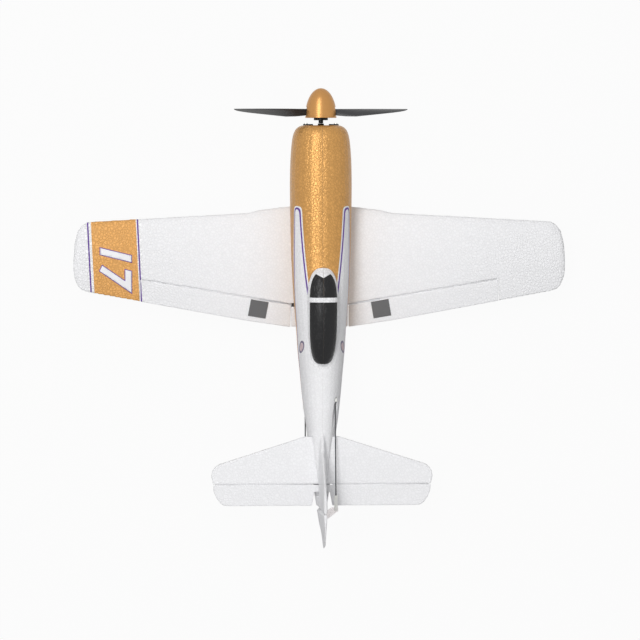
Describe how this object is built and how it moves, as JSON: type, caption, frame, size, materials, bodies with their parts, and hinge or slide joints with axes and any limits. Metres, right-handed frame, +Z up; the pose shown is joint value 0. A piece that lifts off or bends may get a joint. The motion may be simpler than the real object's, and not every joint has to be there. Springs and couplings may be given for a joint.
{
  "type": "radio-controlled warbird aeroplane",
  "caption": "Small electric radio-controlled fighter of moulded bead foam, with a geared nose propeller, moving ailerons, elevator and rudder, and a flat belly to rest on.",
  "frame": {"origin": "centre of the footprint of the whole model, on the surface that the belly rests on", "axes": "+X to the right wing tip, +Y to the nose, +Z up"},
  "size_m": [0.3994, 0.368, 0.097],
  "materials": {
    "painted_foam": "bead foam with a painted scheme",
    "gold_foam": "painted bead foam",
    "white_foam": "bead foam",
    "white_plastic": "satin",
    "black_plastic": "satin",
    "gold_plastic": "satin",
    "steel": "drawn",
    "bronze": "sintered",
    "nylon": "satin",
    "carbon": "satin",
    "copper_coil": "wound",
    "blue_plastic": "satin",
    "cell_foil": "foil",
    "foam_tape": "soft",
    "circuit_board": "satin",
    "chip_black": "matt",
    "servo_case": "translucent smoke",
    "gray_tape": "satin",
    "clear_plastic": "translucent",
    "wire_skin": "insulated"
  },
  "bodies": {
    "airframe": {"fuselage_left": "painted_foam", "fuselage_right": "painted_foam", "wing": "white_foam", "wing_spars": "carbon", "stabilizer": "white_foam", "gearbox_frame": "black_plastic", "mount_screws": "steel", "shaft_bushes": "bronze", "motor_can": "steel", "motor_end_cap": "blue_plastic", "battery": "cell_foil", "battery_pad": "foam_tape", "bay_magnets": "steel", "belly_cover": "gold_plastic", "belly_cover_screws": "steel", "receiver_board": "circuit_board", "board_components": "chip_black", "board_pad": "foam_tape", "aileron_servo": "servo_case", "elevator_servo": "servo_case", "rudder_servo": "servo_case", "torque_rod_sleeves": "black_plastic", "pushrod_guides": "black_plastic", "motor_leads": "wire_skin", "battery_lead": "wire_skin", "battery_plug": "nylon", "servo_leads": "wire_skin"},
    "prop_drive": {"prop_shaft": "steel", "spur_gear": "nylon", "shaft_collar": "steel", "prop_adapter": "black_plastic", "propeller": "black_plastic", "prop_nut": "steel", "spinner_backplate": "gold_plastic", "spinner": "gold_plastic"},
    "motor_drive": {"motor_shaft": "steel", "motor_rotor": "copper_coil", "pinion": "bronze"},
    "hatch": {"battery_hatch": "gold_foam", "hatch_magnets": "steel"},
    "left_aileron": {"aileron_left": "white_foam", "torque_rod_left": "steel", "rod_patch_left": "gray_tape"},
    "right_aileron": {"aileron_right": "white_foam", "torque_rod_right": "steel", "rod_patch_right": "gray_tape"},
    "aileron_arm": {"aileron_servo_arm": "white_plastic", "aileron_arm_screw": "steel"},
    "elevator_surface": {"elevator": "white_foam", "elevator_horn": "clear_plastic"},
    "elevator_arm": {"elevator_servo_arm": "white_plastic", "elevator_arm_screw": "steel"},
    "elevator_rod": {"elevator_pushrod": "steel", "elevator_clevis": "nylon"},
    "rudder_surface": {"rudder": "white_foam", "rudder_horn": "clear_plastic"},
    "rudder_servo_drive": {"rudder_servo_arm": "white_plastic", "rudder_arm_screw": "steel"},
    "rudder_rod": {"rudder_pushrod": "steel", "rudder_clevis": "nylon"}
  },
  "joints": [
    {"name": "prop_spin", "type": "hinge", "parent": "airframe", "child": "prop_drive", "pos_m": [0, 0.15, 0.03], "axis": [0, 1, 0], "continuous": true},
    {"name": "motor_spin", "type": "hinge", "parent": "airframe", "child": "motor_drive", "pos_m": [0, 0.14, 0.01915], "axis": [0, 1, 0], "continuous": true},
    {"name": "hatch_pull", "type": "slide", "parent": "airframe", "child": "hatch", "axis": [0, 0, -1], "range_m": [0, 0.012]},
    {"name": "aileron_right_hinge", "type": "hinge", "parent": "airframe", "child": "right_aileron", "pos_m": [0.0236, 0.0086, 0.01211], "axis": [0.9834, 0.1686, 0.0671], "range_deg": [-20, 20]},
    {"name": "aileron_left_hinge", "type": "hinge", "parent": "airframe", "child": "left_aileron", "pos_m": [-0.0236, 0.0086, 0.01211], "axis": [-0.9834, 0.1686, 0.0671], "range_deg": [-20, 20]},
    {"name": "aileron_servo_turn", "type": "hinge", "parent": "airframe", "child": "aileron_arm", "pos_m": [0, 0.00627, 0.0214], "axis": [0, 0, 1], "range_deg": [-22, 22]},
    {"name": "elevator_hinge", "type": "hinge", "parent": "airframe", "child": "elevator_surface", "pos_m": [0, -0.1348, 0.048], "axis": [1, 0, 0], "range_deg": [-20, 20]},
    {"name": "elevator_servo_turn", "type": "hinge", "parent": "airframe", "child": "elevator_arm", "pos_m": [-0.0115, -0.032, 0.044], "axis": [1, 0, 0], "range_deg": [-20, 20]},
    {"name": "elevator_rod_pivot", "type": "hinge", "parent": "elevator_arm", "child": "elevator_rod", "pos_m": [-0.013, -0.032, 0.0335], "axis": [1, 0, 0], "range_deg": [-20, 20]},
    {"name": "rudder_hinge", "type": "hinge", "parent": "airframe", "child": "rudder_surface", "pos_m": [0, -0.1536, 0.05], "axis": [0, 0, 1], "range_deg": [-22, 22]},
    {"name": "rudder_servo_turn", "type": "hinge", "parent": "airframe", "child": "rudder_servo_drive", "pos_m": [0, -0.048, 0.044], "axis": [0, 0, 1], "range_deg": [-22, 22]},
    {"name": "rudder_rod_pivot", "type": "hinge", "parent": "rudder_servo_drive", "child": "rudder_rod", "pos_m": [0.0104, -0.048, 0.0445], "axis": [0, 0, 1], "range_deg": [-22, 22]}
  ],
  "couplings": [
    {"joint": "motor_spin", "follows": "prop_spin", "ratio": -3.5},
    {"joint": "aileron_left_hinge", "follows": "aileron_right_hinge", "ratio": 1},
    {"joint": "aileron_servo_turn", "follows": "aileron_right_hinge", "ratio": -1.06},
    {"joint": "elevator_servo_turn", "follows": "elevator_hinge", "ratio": 1},
    {"joint": "elevator_rod_pivot", "follows": "elevator_hinge", "ratio": -1},
    {"joint": "rudder_servo_turn", "follows": "rudder_hinge", "ratio": 1},
    {"joint": "rudder_rod_pivot", "follows": "rudder_hinge", "ratio": -1}
  ]
}
